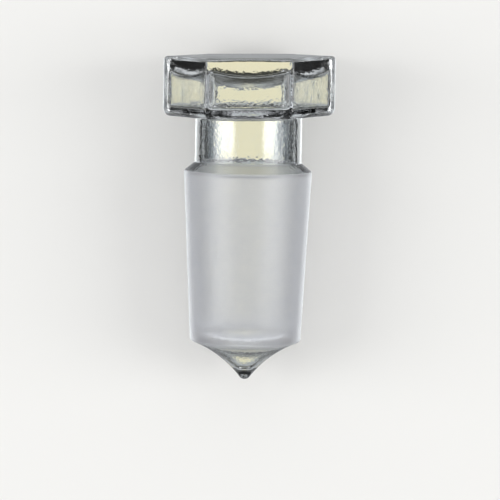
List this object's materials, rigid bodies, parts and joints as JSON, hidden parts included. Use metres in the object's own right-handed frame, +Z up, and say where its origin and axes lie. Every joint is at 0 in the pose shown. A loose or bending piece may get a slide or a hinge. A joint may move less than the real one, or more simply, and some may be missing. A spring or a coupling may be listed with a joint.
{
  "type": "glass stopper",
  "caption": "Hollow glass stopper with a hexagonal head, a clear neck, a ground 1:10 cone and a sealed drip tip, lying on its side.",
  "frame": {"origin": "centre of the bounding box in X and Y, on the table that the stopper lies on", "axes": "+Z up from the table; +Y along the table towards the hexagonal head, with the stopper's own axis 4.8 degrees above +Y; +X across the stopper"},
  "size_m": [0.0252, 0.0484, 0.0225],
  "materials": {
    "glass": "clear and fire-polished, with a fine-ground satin cone"
  },
  "bodies": {
    "root": {"stopper": "glass"}
  },
  "joints": []
}
